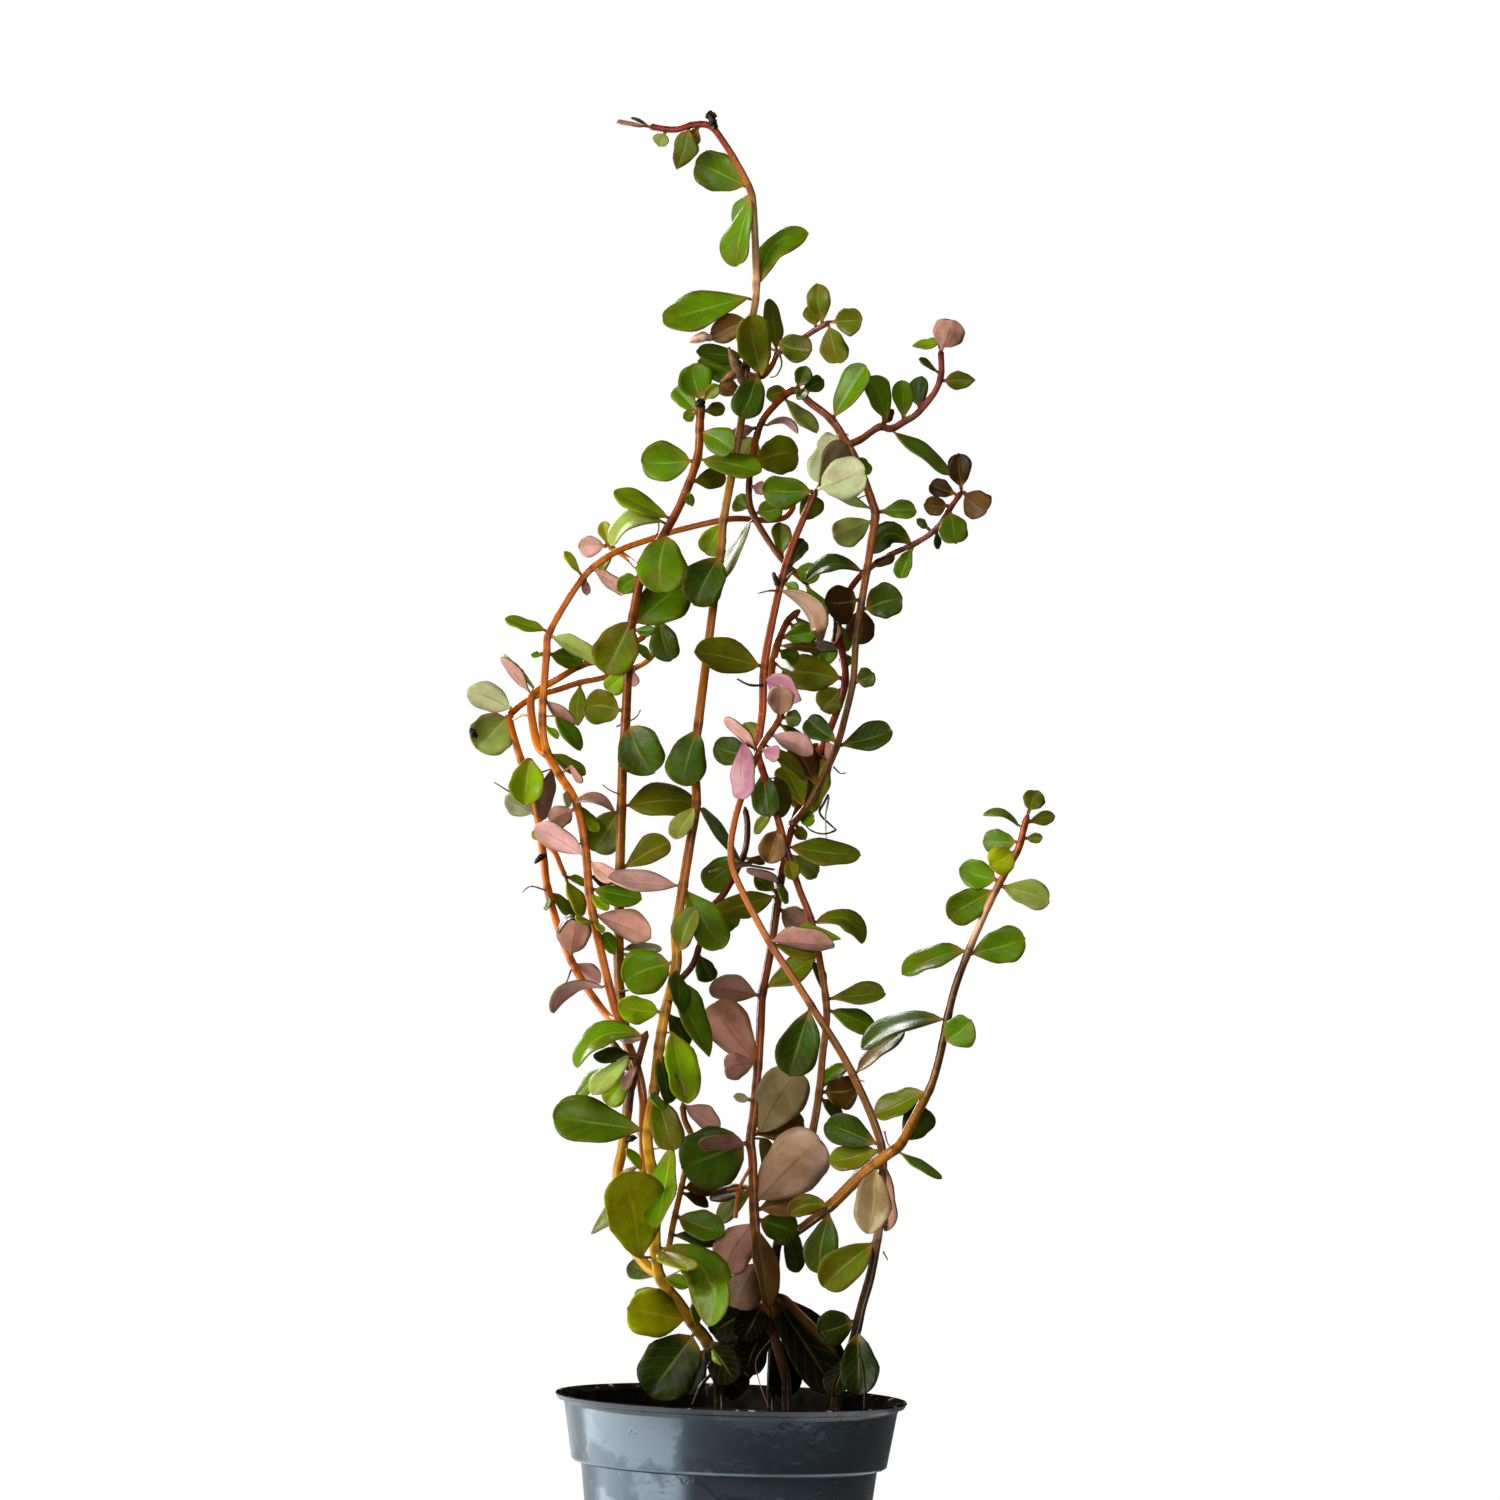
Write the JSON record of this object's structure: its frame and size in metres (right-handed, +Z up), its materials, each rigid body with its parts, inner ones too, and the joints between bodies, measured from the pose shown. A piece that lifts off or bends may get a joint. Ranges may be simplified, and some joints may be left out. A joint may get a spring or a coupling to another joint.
{
  "type": "potted aquarium stem plant",
  "caption": "Blood red dwarf rotala: slender branching stems with small round leaves, olive to mauve, rooted in a small round plastic pot of growing medium",
  "frame": {"origin": "centre of the pot's underside", "axes": "+Z up along the pot's axis, -Y towards the viewer of the plant's front, +X to the viewer's right"},
  "size_m": [0.0845, 0.05, 0.2334],
  "materials": {
    "pot_plastic": "gloss",
    "growing_medium": "matte",
    "plant": "satin"
  },
  "bodies": {
    "root": {"pot": "pot_plastic", "growing_medium": "growing_medium", "tall_stem": "plant", "left_stem": "plant", "left_front_shoot": "plant", "left_back_shoot": "plant", "left_arch_stem": "plant", "far_left_stem": "plant", "far_left_side_shoot": "plant", "far_left_small_shoot": "plant", "back_stem": "plant", "base_left_shoot": "plant", "center_stem": "plant", "right_arch_stem": "plant", "right_side_shoot": "plant", "upper_right_shoot": "plant", "top_small_shoot": "plant", "inner_stem": "plant", "right_branch": "plant", "right_base_stem": "plant"}
  },
  "joints": []
}
